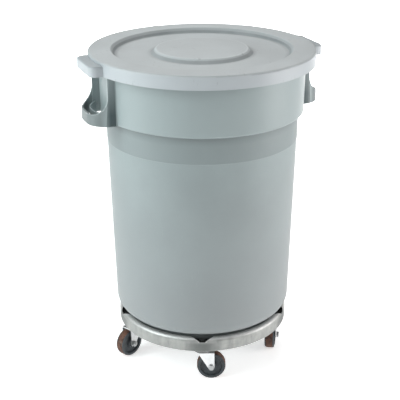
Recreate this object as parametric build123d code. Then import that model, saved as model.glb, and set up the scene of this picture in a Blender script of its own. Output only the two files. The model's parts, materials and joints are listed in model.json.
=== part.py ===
from build123d import *
import math
import os

# Round container on a five-caster steel dolly, with a lift-off lid.
# Millimetres. Origin on the floor, under the container's axis. +Z up.
# The two handles lie on the X axis.

# ---- overall heights above the floor ----
LID_TOP = 828.0
CAN_RIM_TOP = 824.6
COLLAR_BOTTOM = 673.0
BAND_TOP = 669.0
BAND_BOTTOM = 604.0
CAN_FLOOR = 133.5
FOOT_BOTTOM = 111.0
RING_BOTTOM = 93.0
RING_TOP = 128.0
SHELF_TOP = 110.7

# ---- lid ----
LID_R = 283.0
LID_SHEET = 3.0
LID_SKIRT = 33.3
LID_SKIRT_SPREAD = 0.2
RECESS_TOP_R = 226.8
RECESS_FLOOR_R = 216.7
RECESS_DEPTH = 13.0
SLOPE_SHIFT = 1.8
PLATEAU_BASE_R = 127.0
PLATEAU_TOP_R = 115.0
PLATEAU_DROP = 2.0
PLUG_R = 251.0
PLUG_WALL = 2.5
PLUG_BOTTOM = 806.0
EAR_REACH = 307.5
EAR_HALF_WIDTH = 65.0
EAR_CORNER_R = 18.0
EAR_TOP = 820.0
EAR_ROOT = 262.0
EAR_EDGE_R = 5.0

# ---- container ----
WALL = 3.2
RIM_R = 277.0
RIM_LIP_BOTTOM = 803.0
COLLAR_TOP_R = 258.8
COLLAR_BOTTOM_R = 256.3
COLLAR_CORNER_R = 6.0
BAND_TOP_R = 243.2
BAND_BOTTOM_R = 242.6
BODY_TOP_R = 241.6
BODY_BOTTOM_R = 229.2
BODY_CORNER_R = 30.0
FOOT_R = 196.0
FOOT_RECESS_R = 172.0
FOOT_RECESS_TOP = 118.0
BEAD_R = 1.1
BEAD_ANGLE = 38.0

# ---- handles ----
HANDLE_REACH = 308.2
HANDLE_HALF_WIDTH = 72.0
HANDLE_BOTTOM = 672.0
HANDLE_TOP = 822.5
HANDLE_WALL = 4.0
HANDLE_CORNER_R = 54.0
HANDLE_DRAFT = 1.2
HANDLE_NECK_X = 268.0
HANDLE_SWEEP_R = 45.0
HANDLE_SWEEP_Z = 743.0
GRIP_RIB_R = 89.8
GRIP_RIB_REACH = 291.0
GRIP_RIB_WALL = 2.6
GRIP_RIB_TOP = 701.0
CHEEK_PAD = 1.4

# ---- dolly ring, pressed from sheet ----
RING_R = 224.7
RING_SHEET = 2.5
RING_INNER_R = 158.0
RING_LIP_R = 207.5
RING_CREST_R = 9.0
NOTCH_R = 33.5
NOTCH_FLOOR = 118.0
CUP_R = 26.0
CUP_FLOOR = 102.0

# ---- casters ----
CASTER_COUNT = 5
CASTER_CIRCLE_R = 192.0
FIRST_CASTER_ANGLE = -112.0
CASTER_YAWS = (-22.0, 58.0, 13.0, 128.0, 206.0)
TRAIL = 23.0
WHEEL_R = 37.0
RACE_R = 23.5
RACE_WALL = 2.0
RACE_BOTTOM = 81.0
RACE_PLATE_BOTTOM = 91.2
BALL_R = 3.15
BALL_CIRCLE_R = 16.0
BALL_COUNT = 14
CROWN_R = 20.0
CROWN_TOP = 84.8
KINGPIN_R = 5.0
RUNNING_FIT = 0.05
HOLE_PLAY = 0.2
KINGPIN_HEAD_R = 8.0
KINGPIN_HEAD_BOTTOM = 73.2
KINGPIN_HEAD_TOP = 77.8
KINGPIN_TOP = 110.2
WASHER_R = 10.0
WASHER_T = 1.6
KINGPIN_NUT_T = 5.4
KINGPIN_NUT_FLATS = 17.0

# ---- fork ----
BRIDGE_TOP = 80.8
FORK_SHEET = 2.8
FORK_OUTER = 18.0
FORK_BEND_R = 4.0
LEG_END_R = 8.0
LEG_BACK_X = -11.0
BRIDGE_BACK_X = -20.5
AXLE_R = 4.0
AXLE_NUT_FLATS = 13.0
AXLE_HEAD_T = 5.0
AXLE_NUT_T = 6.5
SLEEVE_R = 6.0

# ---- wheel ----
HUB_R = 13.0
HUB_HALF = 14.5
WEB_HALF = 7.0
RIM_INNER_R = 27.0
RIM_HALF = 12.5
RIM_SEAT_R = 33.0
FLANGE_R = 35.8
TREAD_HALF = 9.4


def outline(points, rounds=()):
    """Closed flat outline from its corner points, with some corners rounded."""
    face = make_face(Polyline(*points, close=True))
    for corner, radius in rounds:
        target = Vector(*corner)
        vertex = min(face.vertices(), key=lambda v: (Vector(*v) - target).length)
        face = fillet(vertex, radius)
    return face


def turned(points, rounds=()):
    """Solid turned about Z from (radius, height) points."""
    return revolve(Plane.XZ * outline(points, rounds), Axis.Z)


def rod(radius, bottom, top, x=0.0, y=0.0):
    """Upright cylinder between two heights."""
    shape = Cylinder(radius, top - bottom, align=(Align.CENTER, Align.CENTER, Align.MIN))
    return Pos(x, y, bottom) * shape


def hexagon(flats, bottom, top):
    """Upright hexagonal prism with its top corners chamfered."""
    corner_r = flats / math.sqrt(3)
    prism = extrude(RegularPolygon(corner_r, 6), top - bottom)
    drum = rod(corner_r * 0.985, 0, top - bottom)
    drum = chamfer(drum.edges().group_by(Axis.Z)[-1], corner_r - flats / 2)
    return Pos(0, 0, bottom) * (prism & drum)


def both_sides(shape):
    """The shape and its copy turned half way round the container's axis."""
    return shape + Rot(0, 0, 180) * shape


# ---------------------------------------------------------------- lid
def ear_block(inset, bottom, top):
    """Rounded tab reaching out over one handle."""
    reach = EAR_REACH - inset
    half = EAR_HALF_WIDTH - inset
    corner = EAR_CORNER_R - inset
    points = [(EAR_ROOT, -half), (reach, -half), (reach, half), (EAR_ROOT, half)]
    rounds = [((reach, -half), corner), ((reach, half), corner)]
    return Pos(0, 0, bottom) * extrude(outline(points, rounds), top - bottom)


def make_lid():
    under = LID_TOP - LID_SHEET
    skirt_bottom = LID_TOP - LID_SKIRT
    recess = LID_TOP - RECESS_DEPTH
    plateau = LID_TOP - PLATEAU_DROP
    skirt_r = LID_R + LID_SKIRT_SPREAD
    points = [
        (0, plateau),
        (PLATEAU_TOP_R, plateau),
        (PLATEAU_BASE_R, recess),
        (RECESS_FLOOR_R, recess),
        (RECESS_TOP_R, LID_TOP),
        (LID_R, LID_TOP),
        (skirt_r, skirt_bottom),
        (skirt_r - LID_SHEET, skirt_bottom),
        (LID_R - LID_SHEET, under),
        (PLUG_R, under),
        (PLUG_R, PLUG_BOTTOM),
        (PLUG_R - PLUG_WALL, PLUG_BOTTOM),
        (PLUG_R - PLUG_WALL, under),
        (RECESS_TOP_R + SLOPE_SHIFT, under),
        (RECESS_FLOOR_R + SLOPE_SHIFT, recess - LID_SHEET),
        (PLATEAU_BASE_R - SLOPE_SHIFT, recess - LID_SHEET),
        (PLATEAU_TOP_R - SLOPE_SHIFT, plateau - LID_SHEET),
        (0, plateau - LID_SHEET),
    ]
    rounds = [
        ((PLATEAU_TOP_R, plateau), 4.0),
        ((PLATEAU_BASE_R, recess), 3.0),
        ((RECESS_FLOOR_R, recess), 4.0),
        ((RECESS_TOP_R, LID_TOP), 2.5),
        ((LID_R, LID_TOP), 5.0),
        ((LID_R - LID_SHEET, under), 2.5),
    ]
    disc = turned(points, rounds)
    ear = ear_block(0, skirt_bottom, EAR_TOP) - rod(LID_R - LID_SHEET / 2, 0, LID_TOP)
    ear_edges = ear.edges().filter_by_position(Axis.Z, EAR_TOP - 0.01, EAR_TOP + 0.01)
    inner_arc = ear_edges.sort_by(lambda e: Vector(*e.center()).length)[0]
    ear = fillet([e for e in ear_edges if e != inner_arc], EAR_EDGE_R)
    hollow = ear_block(LID_SHEET, skirt_bottom - 1, EAR_TOP - LID_SHEET)
    return disc + both_sides(ear) - both_sides(hollow)


# ---------------------------------------------------------- container
def can_shell():
    """The tapered body with its band, collar and rolled rim."""
    rim_under = CAN_RIM_TOP - WALL
    collar_in = COLLAR_BOTTOM_R - WALL
    points = [
        (collar_in, CAN_RIM_TOP),
        (RIM_R, CAN_RIM_TOP),
        (RIM_R, RIM_LIP_BOTTOM),
        (RIM_R - WALL, RIM_LIP_BOTTOM),
        (RIM_R - WALL, rim_under),
        (COLLAR_TOP_R, rim_under),
        (COLLAR_BOTTOM_R, COLLAR_BOTTOM),
        (BAND_TOP_R, BAND_TOP),
        (BAND_BOTTOM_R, BAND_BOTTOM),
        (BODY_TOP_R, BAND_BOTTOM - 1.2),
        (BODY_BOTTOM_R, CAN_FLOOR),
        (FOOT_R, CAN_FLOOR),
        (FOOT_R - 1.0, FOOT_BOTTOM),
        (FOOT_RECESS_R, FOOT_BOTTOM),
        (FOOT_RECESS_R - 1.0, FOOT_RECESS_TOP),
        (0, FOOT_RECESS_TOP),
        (0, FOOT_RECESS_TOP + WALL),
        (FOOT_RECESS_R + WALL - 1.0, FOOT_RECESS_TOP + WALL),
        (FOOT_RECESS_R + WALL, FOOT_BOTTOM + WALL),
        (FOOT_R - WALL - 1.0, FOOT_BOTTOM + WALL),
        (FOOT_R - WALL, CAN_FLOOR + WALL),
        (BODY_BOTTOM_R - WALL, CAN_FLOOR + WALL),
        (BODY_TOP_R - WALL, BAND_BOTTOM - 1.2),
        (BAND_TOP_R - WALL, BAND_TOP),
        (collar_in - 0.3, COLLAR_BOTTOM + WALL),
    ]
    rounds = [
        ((RIM_R, CAN_RIM_TOP), 2.5),
        ((COLLAR_BOTTOM_R, COLLAR_BOTTOM), COLLAR_CORNER_R),
        ((BAND_TOP_R, BAND_TOP), 3.0),
        ((BODY_BOTTOM_R, CAN_FLOOR), BODY_CORNER_R),
        ((BODY_BOTTOM_R - WALL, CAN_FLOOR + WALL), BODY_CORNER_R - WALL),
        ((FOOT_R - 1.0, FOOT_BOTTOM), 3.0),
        ((FOOT_RECESS_R, FOOT_BOTTOM), 3.0),
    ]
    return turned(points, rounds)


def base_bead():
    """Fine half-round line moulded round the bottom corner."""
    angle = math.radians(BEAD_ANGLE)
    corner_centre_r = BODY_BOTTOM_R - BODY_CORNER_R
    corner_centre_z = CAN_FLOOR + BODY_CORNER_R
    bead_r = corner_centre_r + (BODY_CORNER_R - 0.3) * math.cos(angle)
    bead_z = corner_centre_z - (BODY_CORNER_R - 0.3) * math.sin(angle)
    return Pos(0, 0, bead_z) * Torus(bead_r, BEAD_R)


def handle_prism(inset, bottom, top):
    """Rounded block that narrows upwards, the outer form of one handle."""
    start = HANDLE_HALF_WIDTH - inset
    reach = HANDLE_REACH - inset
    root = COLLAR_BOTTOM_R - 60
    points = [(root, -start), (reach, -start), (reach, start), (root, start)]
    corner = HANDLE_CORNER_R - inset
    rounds = [((reach, -start), corner), ((reach, start), corner)]
    block = extrude(outline(points, rounds), top - bottom, taper=HANDLE_DRAFT)
    return Pos(0, 0, bottom) * block


def handle_sweep():
    """What is cut away above the handle's neck and grip."""
    neck_top = (HANDLE_NECK_X, HANDLE_TOP + 20)
    neck_end = (HANDLE_NECK_X, HANDLE_SWEEP_Z)
    mid_angle = math.radians(45)
    centre_x = HANDLE_NECK_X + HANDLE_SWEEP_R
    middle = (
        centre_x - HANDLE_SWEEP_R * math.cos(mid_angle),
        HANDLE_SWEEP_Z - HANDLE_SWEEP_R * math.sin(mid_angle),
    )
    low = (centre_x, HANDLE_SWEEP_Z - HANDLE_SWEEP_R)
    far_low = (centre_x + 30, low[1])
    far_top = (centre_x + 30, HANDLE_TOP + 20)
    edge = (
        Line(neck_top, neck_end)
        + ThreePointArc(neck_end, middle, low)
        + Line(low, far_low)
        + Line(far_low, far_top)
        + Line(far_top, neck_top)
    )
    profile = Plane.XZ * make_face(edge)
    return extrude(profile, HANDLE_HALF_WIDTH * 2, both=True)


def grip_rib():
    """Curved inner wall of the grip, between the two cheeks."""
    centre_x = GRIP_RIB_REACH - GRIP_RIB_R
    tube = rod(GRIP_RIB_R, HANDLE_BOTTOM, GRIP_RIB_TOP, centre_x)
    tube -= rod(GRIP_RIB_R - GRIP_RIB_WALL, 0, LID_TOP, centre_x)
    return tube & handle_prism(HANDLE_WALL / 2, HANDLE_BOTTOM, GRIP_RIB_TOP)


def handle():
    height = HANDLE_TOP - HANDLE_BOTTOM
    shell = handle_prism(0, HANDLE_BOTTOM, HANDLE_TOP)
    shell -= handle_prism(HANDLE_WALL, HANDLE_BOTTOM, HANDLE_TOP)
    inner_neck = handle_prism(HANDLE_WALL + CHEEK_PAD, HANDLE_BOTTOM, HANDLE_TOP)
    pads = handle_prism(HANDLE_WALL / 2, HANDLE_BOTTOM, HANDLE_TOP) - inner_neck
    neck_box = Box(HANDLE_NECK_X, HANDLE_HALF_WIDTH * 4, height, align=(Align.MIN, Align.CENTER, Align.MIN))
    pads &= Pos(0, 0, HANDLE_BOTTOM) * neck_box
    band = shell + pads - handle_sweep() + grip_rib()
    return band - rod(COLLAR_BOTTOM_R - WALL / 2, 0, LID_TOP)


def make_can():
    return can_shell() + base_bead() + both_sides(handle())


# -------------------------------------------------------------- dolly
def caster_places():
    """Angle about the axis and yaw of the fork, for each caster."""
    step = 360 / CASTER_COUNT
    return [(FIRST_CASTER_ANGLE + step * i, CASTER_YAWS[i]) for i in range(CASTER_COUNT)]


def at_caster(shape, angle, yaw=0.0):
    """The shape moved from the origin to a caster's swivel axis."""
    return Rot(0, 0, angle) * Pos(CASTER_CIRCLE_R, 0, 0) * Rot(0, 0, yaw - angle) * shape


def at_all_casters(shape):
    return Compound(children=[at_caster(shape, angle) for angle, yaw in caster_places()])


def ring_channel():
    """The pressed hoop: outer wall, rolled lip, shelf and inner flange."""
    t = RING_SHEET
    points = [
        (RING_R - t, RING_BOTTOM),
        (RING_R, RING_BOTTOM),
        (RING_R, RING_TOP),
        (RING_LIP_R, RING_TOP),
        (RING_LIP_R, SHELF_TOP),
        (RING_INNER_R, SHELF_TOP),
        (RING_INNER_R, RING_BOTTOM),
        (RING_INNER_R + t, RING_BOTTOM),
        (RING_INNER_R + t, SHELF_TOP - t),
        (RING_LIP_R + t, SHELF_TOP - t),
        (RING_LIP_R + t, RING_TOP - t),
        (RING_R - t, RING_TOP - t),
    ]
    rounds = [
        ((RING_R, RING_TOP), RING_CREST_R),
        ((RING_R - t, RING_TOP - t), RING_CREST_R - t),
        ((RING_LIP_R, RING_TOP), 4.0),
        ((RING_LIP_R + t, RING_TOP - t), 1.5),
        ((RING_INNER_R, SHELF_TOP), 4.0),
        ((RING_INNER_R + t, SHELF_TOP - t), 1.5),
    ]
    return turned(points, rounds)


def make_dolly_ring():
    ring = ring_channel()
    cup = rod(CUP_R, CUP_FLOOR - RING_SHEET, SHELF_TOP)
    hollow = rod(CUP_R - RING_SHEET, CUP_FLOOR, RING_TOP + 5) + rod(NOTCH_R, NOTCH_FLOOR, RING_TOP + 5)
    hollow += rod(KINGPIN_R + HOLE_PLAY, RING_BOTTOM, RING_TOP)
    for angle, yaw in caster_places():
        ring += at_caster(cup, angle)
        ring -= at_caster(hollow, angle)
    return ring


def make_race_cup():
    """Upper race of the swivel, an upturned cup under the ring."""
    top = CUP_FLOOR - RING_SHEET
    cup = fillet(rod(RACE_R, RACE_BOTTOM, top).edges().group_by(Axis.Z)[-1], 2.5)
    cup -= rod(RACE_R - RACE_WALL, RACE_BOTTOM, RACE_PLATE_BOTTOM)
    return cup - rod(KINGPIN_R + HOLE_PLAY, 0, top + 1)


def make_kingpin():
    head = hexagon(KINGPIN_HEAD_R * 2 * 0.866, KINGPIN_HEAD_BOTTOM, KINGPIN_HEAD_TOP)
    shank = rod(KINGPIN_R, KINGPIN_HEAD_TOP, KINGPIN_TOP)
    return head + chamfer(shank.edges().group_by(Axis.Z)[-1], 0.8)


def make_washer():
    return rod(WASHER_R, CUP_FLOOR, CUP_FLOOR + WASHER_T) - rod(KINGPIN_R + HOLE_PLAY, 0, RING_TOP)


def make_kingpin_nut():
    bottom = CUP_FLOOR + WASHER_T
    return hexagon(KINGPIN_NUT_FLATS, bottom, bottom + KINGPIN_NUT_T) - rod(KINGPIN_R, 0, RING_TOP)


# ------------------------------------------------------- caster pieces
def fork_side():
    """Side outline of the fork: bridge on top, legs tapering to the axle."""
    axle = Vector(TRAIL, WHEEL_R)
    back = Vector(LEG_BACK_X, BRIDGE_TOP - FORK_SHEET)
    to_back = back - axle
    tangent_turn = math.degrees(math.acos(LEG_END_R / to_back.length))
    toward = to_back.normalized().rotate(Axis.Z, tangent_turn)
    left = axle + toward * LEG_END_R
    right = axle + Vector(LEG_END_R, 0)
    lowest = axle + ((left - axle) + (right - axle) + Vector(0, -LEG_END_R)).normalized() * LEG_END_R
    edge = (
        Line(left, back)
        + Line(back, (BRIDGE_BACK_X, back.Y))
        + Line((BRIDGE_BACK_X, back.Y), (BRIDGE_BACK_X, BRIDGE_TOP))
        + Line((BRIDGE_BACK_X, BRIDGE_TOP), (right.X, BRIDGE_TOP))
        + Line((right.X, BRIDGE_TOP), right)
        + ThreePointArc(right, lowest, left)
    )
    return extrude(Plane.XZ * make_face(edge), FORK_OUTER * 2, both=True)


def fork_section():
    """Upside-down U of bent sheet, as long as the bridge."""
    inner = FORK_OUTER - FORK_SHEET
    under = BRIDGE_TOP - FORK_SHEET
    points = [
        (-FORK_OUTER, 0),
        (-FORK_OUTER, BRIDGE_TOP),
        (FORK_OUTER, BRIDGE_TOP),
        (FORK_OUTER, 0),
        (inner, 0),
        (inner, under),
        (-inner, under),
        (-inner, 0),
    ]
    rounds = [
        ((-FORK_OUTER, BRIDGE_TOP), FORK_BEND_R),
        ((FORK_OUTER, BRIDGE_TOP), FORK_BEND_R),
        ((inner, under), FORK_BEND_R - FORK_SHEET),
        ((-inner, under), FORK_BEND_R - FORK_SHEET),
    ]
    return extrude(Plane.YZ * outline(points, rounds), TRAIL * 4, both=True)


def make_fork():
    plan = rod(-BRIDGE_BACK_X, 0, BRIDGE_TOP)
    plan += Box(TRAIL * 2, FORK_OUTER * 2, BRIDGE_TOP, align=(Align.MIN, Align.CENTER, Align.MIN))
    fork = fork_section() & fork_side() & plan
    fork += chamfer(rod(CROWN_R, BRIDGE_TOP, CROWN_TOP).edges().group_by(Axis.Z)[-1], 1.0)
    fork -= rod(KINGPIN_R + RUNNING_FIT, 0, RING_TOP)
    axle_hole = Rot(90, 0, 0) * Cylinder(AXLE_R + 0.1, FORK_OUTER * 3)
    return fork - Pos(TRAIL, 0, WHEEL_R) * axle_hole


def make_ball_ring():
    """The balls of the swivel race, between crown and cup."""
    height = (CROWN_TOP + RACE_PLATE_BOTTOM) / 2
    step = 360 / BALL_COUNT
    balls = [
        Rot(0, 0, step * i) * Pos(BALL_CIRCLE_R, 0, height) * Sphere(BALL_R)
        for i in range(BALL_COUNT)
    ]
    return Compound(children=balls)


def along_axle(shape):
    """A piece made about Z, laid along the wheel's axle."""
    return Pos(TRAIL, 0, WHEEL_R) * Rot(90, 0, 0) * shape


def make_axle_bolt():
    head = hexagon(AXLE_NUT_FLATS, FORK_OUTER, FORK_OUTER + AXLE_HEAD_T)
    end = FORK_OUTER + AXLE_NUT_T + 1.5
    shank = chamfer(rod(AXLE_R, -end, FORK_OUTER).edges().group_by(Axis.Z)[0], 0.8)
    return along_axle(head + shank)


def make_axle_nut():
    nut = hexagon(AXLE_NUT_FLATS, FORK_OUTER, FORK_OUTER + AXLE_NUT_T)
    nut -= rod(AXLE_R, 0, FORK_OUTER * 2)
    return along_axle(Rot(180, 0, 0) * nut)


def make_axle_sleeve():
    half = FORK_OUTER - FORK_SHEET
    return along_axle(rod(SLEEVE_R, -half, half) - rod(AXLE_R, -half, half))


def mirrored_profile(half_points):
    """Full outline from its upper half, listed from the bore outwards."""
    return half_points + [(r, -z) for r, z in reversed(half_points)]


def make_wheel_core():
    bore = SLEEVE_R + RUNNING_FIT
    half = [
        (bore, HUB_HALF),
        (HUB_R, HUB_HALF),
        (HUB_R + 1.5, WEB_HALF),
        (RIM_INNER_R, WEB_HALF),
        (RIM_INNER_R + 2.0, RIM_HALF),
        (FLANGE_R, RIM_HALF),
        (FLANGE_R, TREAD_HALF),
        (RIM_SEAT_R, TREAD_HALF),
    ]
    rounds = []
    for sign in (1, -1):
        rounds.append(((FLANGE_R, sign * RIM_HALF), 2.0))
        rounds.append(((HUB_R, sign * HUB_HALF), 1.2))
        rounds.append(((RIM_INNER_R + 2.0, sign * RIM_HALF), 1.5))
    return along_axle(turned(mirrored_profile(half), rounds))


def make_wheel_tread():
    half = [(RIM_SEAT_R, TREAD_HALF), (WHEEL_R, TREAD_HALF)]
    rounds = [((WHEEL_R, TREAD_HALF), 2.2), ((WHEEL_R, -TREAD_HALF), 2.2)]
    return along_axle(turned(mirrored_profile(half), rounds))


def save(shape, name):
    export_step(shape, os.path.join("parts", name + ".step"))


def main():
    os.makedirs("parts", exist_ok=True)
    save(make_lid(), "lid")
    save(make_can(), "can")
    save(make_dolly_ring(), "dolly_ring")
    save(at_all_casters(make_race_cup()), "race_cups")
    save(at_all_casters(make_kingpin()), "kingpins")
    save(at_all_casters(make_washer()), "kingpin_washers")
    save(at_all_casters(make_kingpin_nut()), "kingpin_nuts")
    caster_pieces = {
        "fork": make_fork(),
        "ball_ring": make_ball_ring(),
        "axle_bolt": make_axle_bolt(),
        "axle_nut": make_axle_nut(),
        "axle_sleeve": make_axle_sleeve(),
        "wheel_core": make_wheel_core(),
        "wheel_tread": make_wheel_tread(),
    }
    for number, (angle, yaw) in enumerate(caster_places(), start=1):
        for name, shape in caster_pieces.items():
            save(at_caster(shape, angle, yaw), f"{name}_{number}")


main()
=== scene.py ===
import json
import math

import bmesh
import bpy
from mathutils import Matrix, Vector


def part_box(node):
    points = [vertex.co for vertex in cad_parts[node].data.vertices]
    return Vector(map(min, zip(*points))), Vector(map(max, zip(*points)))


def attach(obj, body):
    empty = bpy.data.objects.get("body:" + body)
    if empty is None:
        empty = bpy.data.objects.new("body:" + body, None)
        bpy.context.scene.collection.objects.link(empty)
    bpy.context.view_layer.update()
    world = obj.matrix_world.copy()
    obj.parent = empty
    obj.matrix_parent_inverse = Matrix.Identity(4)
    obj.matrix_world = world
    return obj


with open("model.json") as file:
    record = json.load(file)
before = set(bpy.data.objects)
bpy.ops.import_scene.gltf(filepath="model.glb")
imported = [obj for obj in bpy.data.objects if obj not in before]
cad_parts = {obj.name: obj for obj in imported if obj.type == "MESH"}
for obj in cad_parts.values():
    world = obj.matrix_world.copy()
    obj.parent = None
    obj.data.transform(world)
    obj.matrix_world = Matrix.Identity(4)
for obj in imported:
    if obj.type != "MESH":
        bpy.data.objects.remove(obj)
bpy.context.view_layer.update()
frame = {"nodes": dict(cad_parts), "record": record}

# The camera stands towards -X and -Y, two thirds of the object's height above the lid.
VIEW_AZIMUTH = -22.0
CAMERA_DISTANCE = 2.4237
CAMERA_ABOVE_LID = 0.5689
CAMERA_PITCH = 21.99
CAMERA_YAW_TRIM = 0.135
CAMERA_ROLL = -0.13
LENS_MM = 89.28
SENSOR_MM = 36.0

# Black blocks in the hollow of the dolly ring's lip, one behind each notch, set there as painted shade so the
# notches read dark.
BLOCK_FROM_EDGE = 0.0030
BLOCK_DEPTH = 0.0112
BLOCK_GAP = 0.0004
BLOCK_THICK = 0.0066
BLOCK_HALF_ANGLE = math.radians(15.0)
BLOCK_STEPS = 60
LIP_SHEET = 0.0025
CREST_FILLET = 0.0046
NOTCH_DEPTH = 0.0100
NOTCH_R = 0.0342

# Heights and radii that the plastics change colour at.
COLLAR_FOOT = (0.6705, 0.6755)
BAND_FOOT = (0.6030, 0.6050)
BAND_TOP = (0.6690, 0.6735)
UNDER_COLLAR = (0.6480, 0.6690)
HANDLE_ROOT = (0.2592, 0.2605)
CHEEK_HALF_WIDTH = 0.0686
DISH_DEPTH = 0.0125
PLASTIC_GLOSS = 0.5

# The hollow behind the dolly ring's lip, as radii and a height.
HOLLOW_INNER = 0.2098
HOLLOW_OUTER = 0.2223
HOLLOW_TOP = 0.1250

LID_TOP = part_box("lid")[1].z
SIDE = math.radians(VIEW_AZIMUTH)
TOWARDS_CAMERA = Vector((math.sin(SIDE), -math.cos(SIDE), 0.0))
CAMERA_RIGHT = Vector((math.cos(SIDE), math.sin(SIDE), 0.0))


def make_camera():
    data = bpy.data.cameras.new("camera")
    data.lens = LENS_MM
    data.sensor_width = SENSOR_MM
    data.clip_end = 60.0
    camera = bpy.data.objects.new("camera", data)
    bpy.context.scene.collection.objects.link(camera)
    place = TOWARDS_CAMERA * CAMERA_DISTANCE
    place.z = LID_TOP + CAMERA_ABOVE_LID
    turn = Matrix.Rotation(SIDE + math.radians(CAMERA_YAW_TRIM), 4, "Z")
    tilt = Matrix.Rotation(math.radians(90.0 - CAMERA_PITCH), 4, "X")
    roll = Matrix.Rotation(math.radians(CAMERA_ROLL), 4, "Z")
    camera.matrix_world = Matrix.Translation(place) @ turn @ tilt @ roll
    bpy.context.scene.camera = camera


def in_view(right, towards, up):
    """A point given by metres to the camera's right, towards the camera, and up from the floor."""
    point = CAMERA_RIGHT * right + TOWARDS_CAMERA * towards
    point.z = up
    return point


def soft_light(name, place, target, size, power, colour=(1.0, 1.0, 1.0)):
    data = bpy.data.lights.new(name, "AREA")
    data.shape = "RECTANGLE"
    data.size, data.size_y = size
    data.energy = power
    data.color = colour
    light = bpy.data.objects.new(name, data)
    bpy.context.scene.collection.objects.link(light)
    light.location = place
    light.rotation_mode = "QUATERNION"
    light.rotation_quaternion = (target - place).to_track_quat("-Z", "Y")
    return data


def make_lights():
    """Soft boxes at both sides, over the camera and behind, and one for the far floor."""
    middle = Vector((0.0, 0.0, LID_TOP * 0.54))
    cool, warm = (0.93, 1.0, 1.0), (1.0, 0.98, 0.97)
    soft_light("left_low", in_view(-2.3, 0.6, 0.8), middle, (1.4, 1.4), 14.5, cool)
    soft_light("left_high", in_view(-1.9, 0.7, 2.2), middle, (1.4, 1.4), 19.0, cool)
    soft_light("left_front", in_view(-2.0, 1.4, 1.6), middle, (1.4, 1.8), 19.0, cool)
    soft_light("right_low", in_view(2.3, 0.4, 0.8), middle, (1.4, 1.4), 27.0, warm)
    soft_light("right_back", in_view(2.4, -0.3, 1.2), middle, (1.4, 2.0), 6.0, warm)
    soft_light("back_high", in_view(0.0, -1.9, 2.6), middle, (2.2, 1.4), 31.0)
    soft_light("front_high", in_view(0.0, 2.2, 2.9), middle, (2.0, 1.4), 7.0)
    far_floor = soft_light(
        "far_floor", in_view(0.0, -4.2, 2.6), in_view(0.0, -4.4, 0.0), (5.0, 2.4), 185.0
    )
    far_floor.spread = math.radians(110.0)
    world = bpy.data.worlds.new("studio")
    world.use_nodes = True
    background = world.node_tree.nodes["Background"]
    background.inputs["Color"].default_value = (1.0, 1.0, 1.0, 1.0)
    rays = world.node_tree.nodes.new("ShaderNodeLightPath")
    strength = world.node_tree.nodes.new("ShaderNodeMapRange")
    strength.inputs["To Min"].default_value = 0.2
    strength.inputs["To Max"].default_value = 0.96
    world.node_tree.links.new(rays.outputs["Is Camera Ray"], strength.inputs["Value"])
    world.node_tree.links.new(strength.outputs["Result"], background.inputs["Strength"])
    bpy.context.scene.world = world
    bpy.context.scene.view_settings.view_transform = "Standard"


def make_floor():
    mesh = bpy.data.meshes.new("floor")
    half = 12.0
    corners = [(-half, -half, 0.0), (half, -half, 0.0), (half, half, 0.0), (-half, half, 0.0)]
    mesh.from_pydata(corners, [], [(0, 1, 2, 3)])
    floor = bpy.data.objects.new("floor", mesh)
    bpy.context.scene.collection.objects.link(floor)
    material = bpy.data.materials.new("pale_floor")
    material.use_nodes = True
    shader = material.node_tree.nodes["Principled BSDF"]
    shader.inputs["Base Color"].default_value = (0.93, 0.93, 0.93, 1.0)
    shader.inputs["Roughness"].default_value = 0.9
    shader.inputs["Emission Color"].default_value = (1.0, 1.0, 1.0, 1.0)
    shader.inputs["Emission Strength"].default_value = 0.55
    mesh.materials.append(material)


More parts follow.
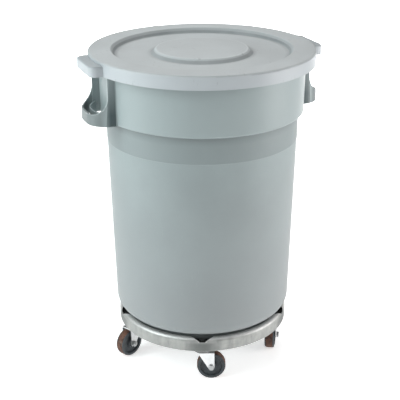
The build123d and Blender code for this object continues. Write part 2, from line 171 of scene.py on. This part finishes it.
# ------------------------------------------------------------ materials
class Surface:
    """One material's node tree, with short calls for what the surfaces share."""

    def __init__(self, name):
        self.material = bpy.data.materials.new(name)
        self.material.use_nodes = True
        self.tree = self.material.node_tree
        self.shader = self.tree.nodes["Principled BSDF"]
        self.place = self.tree.nodes.new("ShaderNodeTexCoord").outputs["Object"]

    def link(self, source, target):
        self.tree.links.new(source, target)

    def node(self, kind, **settings):
        made = self.tree.nodes.new(kind)
        for key, value in settings.items():
            setattr(made, key, value)
        return made

    def stretch(self, scale):
        """The object's coordinates, scaled by axis, for grain and streaks."""
        mapping = self.node("ShaderNodeMapping")
        mapping.inputs["Scale"].default_value = scale
        self.link(self.place, mapping.inputs["Vector"])
        return mapping.outputs["Vector"]

    def parts(self, vector=None):
        """The three parts of a vector, or of the object's coordinates."""
        split = self.node("ShaderNodeSeparateXYZ")
        self.link(vector or self.place, split.inputs[0])
        return split.outputs["X"], split.outputs["Y"], split.outputs["Z"]

    def around(self):
        """Angle about the upright axis, radius and height as a vector."""
        x, y, z = self.parts()
        angle = self.math("ARCTAN2", y, x)
        square = self.math("MULTIPLY", x, x)
        radius = self.math("SQRT", self.math("MULTIPLY_ADD", y, y, square))
        join = self.node("ShaderNodeCombineXYZ")
        for value, socket in zip((angle, radius, z), join.inputs):
            self.link(value, socket)
        return join.outputs[0]

    def noise(self, scale, detail=3.0, vector=None):
        made = self.node("ShaderNodeTexNoise")
        made.inputs["Scale"].default_value = scale
        made.inputs["Detail"].default_value = detail
        made.inputs["Roughness"].default_value = 0.55
        self.link(vector or self.place, made.inputs["Vector"])
        return made.outputs["Fac"]

    def cells(self, scale):
        made = self.node("ShaderNodeTexVoronoi", feature="F1")
        made.inputs["Scale"].default_value = scale
        self.link(self.place, made.inputs["Vector"])
        return made.outputs["Color"]

    def math(self, operation, first, second=None, third=None, clamp=False):
        made = self.node("ShaderNodeMath", operation=operation, use_clamp=clamp)
        for socket, value in zip(made.inputs, (first, second, third)):
            if isinstance(value, (int, float)):
                socket.default_value = value
            elif value is not None:
                self.link(value, socket)
        return made.outputs[0]

    def spread(self, value, low, high, start=0.0, end=1.0):
        """Maps low..high of a value onto start..end, clamped."""
        made = self.node("ShaderNodeMapRange", clamp=True)
        self.link(value, made.inputs["Value"])
        for key, number in (("From Min", low), ("From Max", high), ("To Min", start), ("To Max", end)):
            made.inputs[key].default_value = number
        return made.outputs["Result"]

    def blend(self, factor, first, second):
        made = self.node("ShaderNodeMix", data_type="RGBA")
        colours = [made.inputs[6], made.inputs[7]]
        if isinstance(factor, (int, float)):
            made.inputs[0].default_value = factor
        else:
            self.link(factor, made.inputs[0])
        for socket, colour in zip(colours, (first, second)):
            if isinstance(colour, tuple):
                socket.default_value = (*colour, 1.0)
            else:
                self.link(colour, socket)
        return made.outputs[2]

    def edges(self, radius, low=0.004, high=0.12):
        """1 on edges and corners sharper than the radius, 0 on open faces."""
        rounded = self.node("ShaderNodeBevel", samples=6)
        rounded.inputs["Radius"].default_value = radius
        true = self.node("ShaderNodeNewGeometry")
        dot = self.node("ShaderNodeVectorMath", operation="DOT_PRODUCT")
        self.link(rounded.outputs["Normal"], dot.inputs[0])
        self.link(true.outputs["Normal"], dot.inputs[1])
        turned = self.math("SUBTRACT", 1.0, dot.outputs["Value"])
        return self.spread(turned, low, high)

    def between(self, value, rise, fall):
        """1 where the value is past the rise and short of the fall, each a pair of edges."""
        return self.math("MULTIPLY", self.spread(value, *rise), self.spread(value, *reversed(fall)))

    def inward(self):
        """How squarely a face looks at the upright axis: 1 towards it, 0 across it or away."""
        flat = self.node("ShaderNodeVectorMath", operation="MULTIPLY")
        self.link(self.place, flat.inputs[0])
        flat.inputs[1].default_value = (-1.0, -1.0, 0.0)
        unit = self.node("ShaderNodeVectorMath", operation="NORMALIZE")
        self.link(flat.outputs["Vector"], unit.inputs[0])
        dot = self.node("ShaderNodeVectorMath", operation="DOT_PRODUCT")
        self.link(unit.outputs["Vector"], dot.inputs[0])
        self.link(self.node("ShaderNodeNewGeometry").outputs["Normal"], dot.inputs[1])
        return self.math("MAXIMUM", dot.outputs["Value"], 0.0)

    def sideways(self):
        """How squarely a face looks along Y, either way."""
        _, y, _ = self.parts(self.node("ShaderNodeNewGeometry").outputs["Normal"])
        return self.math("ABSOLUTE", y)

    def bump(self, height, strength, distance, normal=None):
        made = self.node("ShaderNodeBump")
        made.inputs["Strength"].default_value = strength
        made.inputs["Distance"].default_value = distance
        self.link(height, made.inputs["Height"])
        if normal is not None:
            self.link(normal, made.inputs["Normal"])
        return made.outputs["Normal"]

    def done(self, colour, roughness, normal, **settings):
        self.link(colour, self.shader.inputs["Base Color"])
        self.link(roughness, self.shader.inputs["Roughness"])
        self.link(normal, self.shader.inputs["Normal"])
        for key, value in settings.items():
            self.shader.inputs[key.replace("_", " ").title().replace("Ior", "IOR")].default_value = value
        return self.material


def tint(colour, factor):
    return tuple(min(1.0, c * factor) for c in colour)


def moulded_plastic(name, colour, scuff_seed):
    """Satin polyethylene: leather-like grain, mottled tone, hairline scuffs, and pale edges that are partly
    wear and partly a painted highlight.
    """
    s = Surface(name)
    mottle = s.noise(5.5, detail=4.0)
    tone = s.blend(s.spread(mottle, 0.35, 0.65), tint(colour, 0.94), tint(colour, 1.06))
    speckle = s.noise(420.0, detail=2.0)
    tone = s.blend(s.spread(speckle, 0.3, 0.7, 0.0, 0.16), tone, tint(colour, 0.82))
    long_scuffs = s.noise(1.0, detail=2.0, vector=s.stretch((34.0 + scuff_seed, 260.0, 26.0)))
    patches = s.noise(9.0 + scuff_seed, detail=2.0)
    scuffs = s.math("MULTIPLY", s.spread(long_scuffs, 0.64, 0.70), s.spread(patches, 0.52, 0.66), clamp=True)
    tone = s.blend(s.math("MULTIPLY", scuffs, 0.22), tone, tint(colour, 1.35))
    # Pale edges: partly wear, partly a painted highlight along the edges.
    edge = s.edges(0.0022)
    wear_and_highlight = s.math("MULTIPLY", edge, s.spread(s.noise(60.0), 0.3, 0.62, 0.12, 0.5))
    tone = s.blend(wear_and_highlight, tone, tint(colour, 1.42))
    grain = s.noise(1150.0, detail=2.0)
    rough = s.math("ADD", s.spread(mottle, 0.3, 0.7, 0.40, 0.49), s.spread(grain, 0.3, 0.7, -0.03, 0.05))
    rough = s.math("MULTIPLY_ADD", scuffs, 0.12, rough)
    waves = s.bump(s.noise(7.0, detail=1.0), 0.30, 0.0018)
    normal = s.bump(grain, 0.26, 0.00016, waves)
    normal = s.bump(scuffs, 0.2, 0.0001, normal)
    return s, tone, rough, normal


def lid_plastic():
    """The lid's moulding: painted shade in the foot of its recess, on the recess wall and round the middle
    step, a painted highlight on the step's brow, the skirt painted darker and bluer as shade and made smoother,
    a few dark scuffs.
    """
    s, tone, rough, normal = moulded_plastic("lid_plastic", (0.525, 0.558, 0.568), 3.0)
    _, radius, z = s.parts(s.around())
    low = LID_TOP - DISH_DEPTH
    in_dish = s.math("LESS_THAN", z, low + 0.006)
    # Painted shade in the foot of the recess, where its floor meets the wall.
    foot = s.math("MULTIPLY", s.spread(radius, 0.206, 0.219), s.math("LESS_THAN", radius, 0.24))
    foot = s.math("MULTIPLY", foot, in_dish)
    # Painted shade round the foot of the middle step.
    step = s.between(radius, (0.112, 0.120), (0.126, 0.138))
    step = s.math("MULTIPLY", s.math("MULTIPLY", step, 0.6), in_dish)
    # The two painted shades together, broken up by noise.
    dish_shade = s.math("MAXIMUM", foot, step, clamp=True)
    dish_shade = s.math("MULTIPLY", dish_shade, s.spread(s.noise(14.0, detail=4.0), 0.3, 0.7, 0.5, 0.95))
    tone = s.blend(dish_shade, tone, (0.25, 0.275, 0.285))
    # Painted highlight on the brow of the middle step.
    brow = s.between(radius, (0.1105, 0.1140), (0.1160, 0.1190))
    tone = s.blend(s.math("MULTIPLY", brow, 0.55), tone, (0.68, 0.72, 0.73))
    # Painted shade on the recess wall, strongest towards its foot.
    wall = s.between(radius, (0.2135, 0.2185), (0.2260, 0.2290))
    wall = s.math("MULTIPLY", wall, s.spread(z, LID_TOP, low + 0.0095))
    tone = s.blend(s.math("MULTIPLY", wall, 0.35), tone, (0.30, 0.33, 0.34))
    # Painted shade: the upright skirt coloured darker and bluer than the top. It is also made smoother.
    skirt = s.math("MULTIPLY", s.spread(radius, 0.2770, 0.2805), s.spread(z, low + 0.0118, low + 0.0065))
    tone = s.blend(skirt, tone, (0.425, 0.462, 0.484))
    rough = s.math("MULTIPLY_ADD", skirt, -0.08, rough)
    rubbed = s.math(
        "MULTIPLY",
        s.spread(s.noise(1.0, vector=s.stretch((190.0, 46.0, 60.0))), 0.655, 0.70),
        s.spread(s.noise(7.0), 0.5, 0.62),
        clamp=True,
    )
    tone = s.blend(s.math("MULTIPLY", rubbed, 0.4), tone, (0.24, 0.25, 0.26))
    return s.done(tone, rough, normal, specular_ior_level=PLASTIC_GLOSS)


def can_plastic():
    """The container's moulding: a smoother collar, painted lighter as a painted sheen, a darker band below it,
    painted shade under the collar, inside the handle pockets, low on the handles' outer faces and on their
    cheeks, paler handle rims that are partly wear and partly a painted highlight, dust near the floor.
    """
    colour = (0.272, 0.322, 0.327)
    s, tone, rough, normal = moulded_plastic("can_plastic", colour, 0.0)
    _, y, _ = s.parts()
    _, radius, z = s.parts(s.around())
    collar = s.spread(z, *COLLAR_FOOT)
    band = s.between(z, BAND_FOOT, BAND_TOP)
    # Painted shade in the top of the band, under the collar's overhang.
    under_collar_shade = s.math("MULTIPLY", s.spread(z, *UNDER_COLLAR), band)
    cloud = s.noise(11.0)
    banded = s.math("MULTIPLY", band, s.spread(cloud, 0.3, 0.7, 0.72, 0.95))
    tone = s.blend(banded, tone, tint(colour, 0.80))
    tone = s.blend(s.math("MULTIPLY", under_collar_shade, 0.7), tone, tint(colour, 0.60))
    # Painted sheen: the collar's colour lighter than the body's. Its smoother finish is set in the roughness
    # below.
    tone = s.blend(s.math("MULTIPLY", collar, 0.5), tone, tint(colour, 1.18))
    # Painted shade on the faces inside the handle pockets that look towards the container, deepest on the outer
    # wall's inside.
    pocket_shade = s.math("MULTIPLY", s.spread(radius, 0.2560, 0.2610), s.spread(z, 0.7900, 0.7700))
    pocket_shade = s.math("MULTIPLY", pocket_shade, s.spread(s.inward(), 0.15, 0.6))
    pocket_shade = s.math("MULTIPLY", pocket_shade, s.spread(radius, 0.2880, 0.2960, 0.12, 1.0))
    tone = s.blend(s.math("MULTIPLY", pocket_shade, 0.9), tone, (0.020, 0.032, 0.034))
    # Painted shade low on the handles' outer faces.
    handle_outer_shade = s.math("MULTIPLY", s.spread(radius, 0.2800, 0.2920), s.spread(z, 0.7450, 0.7250))
    handle_outer_shade = s.math("MULTIPLY", handle_outer_shade, s.spread(cloud, 0.3, 0.7, 0.75, 1.0))
    tone = s.blend(handle_outer_shade, tone, tint(colour, 0.50))
    # Painted shade on the handles' cheeks beside the collar, deepest low down.
    cheek_shade = s.between(radius, HANDLE_ROOT, (0.272, 0.296))
    cheek_shade = s.math("MULTIPLY", cheek_shade, s.spread(s.sideways(), 0.55, 0.9))
    cheek_shade = s.math("MULTIPLY", cheek_shade, s.spread(z, 0.790, 0.700, 0.25, 1.0))
    outside = s.math("GREATER_THAN", s.math("ABSOLUTE", y), CHEEK_HALF_WIDTH)
    cheek_shade = s.math("MULTIPLY", cheek_shade, outside)
    tone = s.blend(s.math("MULTIPLY", cheek_shade, 0.92), tone, (0.026, 0.052, 0.057))
    # Paler handle rims: partly wear, partly a painted highlight along the edges.
    rim = s.math("MULTIPLY", s.edges(0.0026, 0.002, 0.06), s.spread(radius, *HANDLE_ROOT))
    rim = s.math("MULTIPLY", rim, s.spread(s.noise(40.0), 0.3, 0.7, 0.3, 0.8))
    tone = s.blend(rim, tone, (0.55, 0.61, 0.62))
    low = s.spread(z, 0.24, 0.15)
    dust = s.math("MULTIPLY", low, s.spread(s.noise(22.0), 0.35, 0.7))
    tone = s.blend(s.math("MULTIPLY", dust, 0.25), tone, (0.33, 0.33, 0.31))
    warm = s.spread(z, 0.62, 0.20)
    tone = s.blend(s.math("MULTIPLY", warm, 0.6), tone, (0.278, 0.290, 0.298))
    rough = s.math("MULTIPLY_ADD", collar, -0.10, rough)
    return s.done(tone, rough, normal, specular_ior_level=PLASTIC_GLOSS)


def galvanised(name):
    """Hot-dip zinc on pressed sheet: soft spangle, drawn streaks, dull patches, painted highlights on the edges
    and along the lip's crest, painted shade low round each notch and inside the lip's hollow.
    """
    s = Surface(name)
    flake_tone, flake_shine, _ = s.parts(s.cells(95.0))
    ring = s.around()
    angle, radius, z = s.parts(ring)
    drawn = s.node("ShaderNodeMapping")
    drawn.inputs["Scale"].default_value = (26.0, 60.0, 900.0)
    s.link(ring, drawn.inputs["Vector"])
    streaks = s.noise(1.0, detail=4.0, vector=drawn.outputs[0])
    smears = s.node("ShaderNodeMapping")
    smears.inputs["Scale"].default_value = (16.0, 20.0, 26.0)
    s.link(ring, smears.inputs["Vector"])
    smear = s.noise(1.0, detail=3.0, vector=smears.outputs[0])
    tone = s.blend(s.spread(smear, 0.32, 0.68), (0.285, 0.295, 0.285), (0.44, 0.445, 0.43))
    tone = s.blend(s.spread(flake_tone, 0.0, 1.0, 0.0, 0.16), tone, (0.52, 0.53, 0.52))
    tone = s.blend(s.spread(streaks, 0.45, 0.75, 0.0, 0.22), tone, (0.23, 0.235, 0.23))
    stain = s.math("MULTIPLY", s.spread(s.noise(16.0, detail=5.0), 0.54, 0.72), 0.4)
    tone = s.blend(stain, tone, (0.20, 0.195, 0.18))
    places = list(swivel_places())
    count, first_angle = len(places), places[0][1]
    # Painted shade low on the ring round each caster notch.
    near = s.math("COSINE", s.math("MULTIPLY_ADD", angle, float(count), -count * first_angle))
    notch_shade = s.math("MULTIPLY", s.spread(near, 0.45, 1.0), s.spread(z, 0.126, 0.112))
    tone = s.blend(s.math("MULTIPLY", notch_shade, 0.82), tone, (0.115, 0.125, 0.122))
    # Painted highlight along the top of the lip's crest.
    crest = s.math("MULTIPLY", s.spread(z, 0.1215, 0.1262), s.spread(streaks, 0.3, 0.7, 1.0, 0.7))
    tone = s.blend(crest, tone, (0.74, 0.745, 0.735))
    # Painted highlight on the sharp edges.
    tone = s.blend(s.math("MULTIPLY", s.edges(0.0025), 0.5), tone, (0.70, 0.70, 0.69))
    # Painted shade: the inside of the lip's hollow made near black.
    hollow = s.math("LESS_THAN", radius, HOLLOW_OUTER)
    hollow = s.math("MULTIPLY", hollow, s.math("GREATER_THAN", radius, HOLLOW_INNER))
    hollow = s.math("MULTIPLY", hollow, s.math("LESS_THAN", z, HOLLOW_TOP))
    tone = s.blend(hollow, tone, (0.03, 0.03, 0.03))
    rough = s.math("ADD", s.spread(smear, 0.3, 0.7, 0.38, 0.56), s.spread(flake_shine, 0.0, 1.0, -0.04, 0.06))
    normal = s.bump(streaks, 0.18, 0.0002)
    normal = s.bump(s.noise(38.0, detail=3.0), 0.30, 0.0008, normal)
    return s.done(tone, rough, normal, metallic=0.7)


def zinc_plate(name, colour, rough_low, rough_high):
    """Bright zinc on bent sheet: faint blue and straw tints, press marks, worn edges."""
    s = Surface(name)
    cloud = s.noise(38.0, detail=4.0)
    tone = s.blend(s.spread(cloud, 0.35, 0.65), tint(colour, 0.86), colour)
    tone = s.blend(s.spread(s.noise(21.0), 0.5, 0.7, 0.0, 0.18), tone, (0.70, 0.74, 0.82))
    tone = s.blend(s.spread(s.noise(27.0, detail=5.0), 0.6, 0.75, 0.0, 0.35), tone, (0.46, 0.42, 0.36))
    tone = s.blend(s.math("MULTIPLY", s.edges(0.0012), 0.4), tone, (0.95, 0.95, 0.95))
    brushed = s.noise(1.0, detail=3.0, vector=s.stretch((240.0, 240.0, 900.0)))
    rough = s.spread(s.math("ADD", cloud, s.math("MULTIPLY", brushed, 0.4)), 0.4, 1.0, rough_low, rough_high)
    normal = s.bump(brushed, 0.18, 0.00012)
    return s.done(tone, rough, s.bump(cloud, 0.2, 0.0005, normal), metallic=0.9)


def wheel_plastic(name):
    """Charcoal moulded wheel: dusty, scuffed, greyed on its edges."""
    s = Surface(name)
    cloud = s.noise(45.0, detail=4.0)
    tone = s.blend(s.spread(cloud, 0.3, 0.7), (0.026, 0.031, 0.034), (0.062, 0.074, 0.084))
    tone = s.blend(s.spread(s.noise(24.0, detail=5.0), 0.5, 0.72, 0.0, 0.4), tone, (0.12, 0.125, 0.125))
    tone = s.blend(s.math("MULTIPLY", s.edges(0.0012), 0.45), tone, (0.17, 0.175, 0.18))
    grit = s.noise(900.0, detail=2.0)
    rough = s.math("ADD", s.spread(cloud, 0.3, 0.7, 0.42, 0.6), s.spread(grit, 0.3, 0.7, -0.04, 0.06))
    return s.done(tone, rough, s.bump(grit, 0.25, 0.00015), specular_ior_level=0.4)


def tread_rubber(name):
    """Red-brown rubber, rubbed dark and floor-dusty where it rolls."""
    s = Surface(name)
    cloud = s.noise(55.0, detail=5.0)
    tone = s.blend(s.spread(cloud, 0.3, 0.7), (0.075, 0.036, 0.026), (0.165, 0.078, 0.052))
    tone = s.blend(s.spread(s.noise(90.0, detail=4.0), 0.52, 0.7, 0.0, 0.6), tone, (0.20, 0.155, 0.12))
    tone = s.blend(s.spread(s.noise(140.0), 0.52, 0.64, 0.0, 0.75), tone, (0.03, 0.026, 0.024))
    grit = s.noise(1300.0, detail=3.0)
    rough = s.spread(cloud, 0.3, 0.7, 0.62, 0.82)
    normal = s.bump(s.noise(300.0, detail=3.0), 0.4, 0.0004, s.bump(grit, 0.4, 0.0002))
    return s.done(tone, rough, normal, specular_ior_level=0.35)


def paint(nodes, material):
    for name in nodes:
        data = frame["nodes"][name].data
        data.materials.clear()
        data.materials.append(material)


def nodes_named(*starts):
    return [n for n in frame["nodes"] if n.rstrip("0123456789").rstrip("_") in starts]


def paint_frame():
    paint(["lid"], lid_plastic())
    paint(["can"], can_plastic())
    paint(["dolly_ring"], galvanised("galvanised_steel"))
    paint(nodes_named("fork"), zinc_plate("zinc_fork", (0.86, 0.87, 0.88), 0.24, 0.42))
    paint(["race_cups"], zinc_plate("dull_zinc", (0.20, 0.205, 0.205), 0.40, 0.60))
    bolts = nodes_named(
        "kingpins", "kingpin_washers", "kingpin_nuts", "ball_ring", "axle_bolt", "axle_nut", "axle_sleeve"
    )
    paint(bolts, zinc_plate("bolt_zinc", (0.46, 0.47, 0.475), 0.28, 0.46))
    paint(nodes_named("wheel_core"), wheel_plastic("wheel_plastic"))
    paint(nodes_named("wheel_tread"), tread_rubber("tread_rubber"))


def stop_rubber():
    """Black matt surface like moulded rubber, for the blocks that are painted shade in the notches: dusted
    grey, paler on its edges.
    """
    s = Surface("stop_rubber")
    tone = s.blend(s.spread(s.noise(60.0, detail=4.0), 0.35, 0.7), (0.012, 0.012, 0.012), (0.028, 0.028, 0.027))
    tone = s.blend(s.math("MULTIPLY", s.edges(0.0010), 0.35), tone, (0.07, 0.07, 0.068))
    grit = s.noise(1100.0, detail=2.0)
    rough = s.spread(grit, 0.3, 0.7, 0.62, 0.80)
    return s.done(tone, rough, s.bump(grit, 0.35, 0.0002), specular_ior_level=0.3)


def swivel_places():
    """Each caster's swivel axis, as the record gives it: number, angle and distance from the middle."""
    for joint in frame["record"]["behaviour"]["joints"]:
        if joint["name"].endswith("_swivel"):
            x, y, _ = joint["pos_m"]
            yield joint["name"].split("_")[1], math.atan2(y, x), math.hypot(x, y)


def make_shade_block(number, angle, distance, material):
    """A black block in the hollow of the ring's lip, filling it behind one notch, as painted shade."""
    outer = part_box("dolly_ring")[1].x - BLOCK_FROM_EDGE
    inner = outer - BLOCK_DEPTH
    lip_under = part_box("dolly_ring")[1].z - LIP_SHEET - BLOCK_GAP
    notch_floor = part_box("dolly_ring")[1].z - NOTCH_DEPTH - BLOCK_GAP
    bottom = notch_floor - BLOCK_THICK
    mesh = bmesh.new()
    rows = []
    for step in range(BLOCK_STEPS + 1):
        turn = BLOCK_HALF_ANGLE * (2.0 * step / BLOCK_STEPS - 1.0)
        row = []
        corner = outer - CREST_FILLET
        for radius, drop in ((inner, None), (outer, None), (outer, CREST_FILLET), (corner, 0.0), (inner, 0.0)):
            cut = math.hypot(radius * math.sin(turn), radius * math.cos(turn) - distance) < NOTCH_R
            top = notch_floor if cut else lip_under
            z = bottom if drop is None else min(top, lip_under - drop)
            row.append(mesh.verts.new((radius * math.cos(angle + turn), radius * math.sin(angle + turn), z)))
        rows.append(row)
    for near, far in zip(rows, rows[1:]):
        for i in range(5):
            j = (i + 1) % 5
            mesh.faces.new((near[i], near[j], far[j], far[i]))
    mesh.faces.new(rows[0][::-1])
    mesh.faces.new(rows[-1])
    bmesh.ops.recalc_face_normals(mesh, faces=mesh.faces)
    data = bpy.data.meshes.new("stop_" + number)
    mesh.to_mesh(data)
    mesh.free()
    data.materials.append(material)
    shade_block = bpy.data.objects.new("stop_" + number, data)
    bpy.context.scene.collection.objects.link(shade_block)
    rounding = shade_block.modifiers.new("rounding", "BEVEL")
    rounding.width = 0.0008
    rounding.segments = 3
    rounding.limit_method = "ANGLE"
    rounding.angle_limit = math.radians(35.0)
    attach(shade_block, "dolly")


# One black block behind each caster notch, as painted shade.
def make_shade_blocks():
    material = stop_rubber()
    for number, angle, distance in swivel_places():
        make_shade_block(number, angle, distance, material)


paint_frame()
make_shade_blocks()
make_camera()
make_lights()
make_floor()
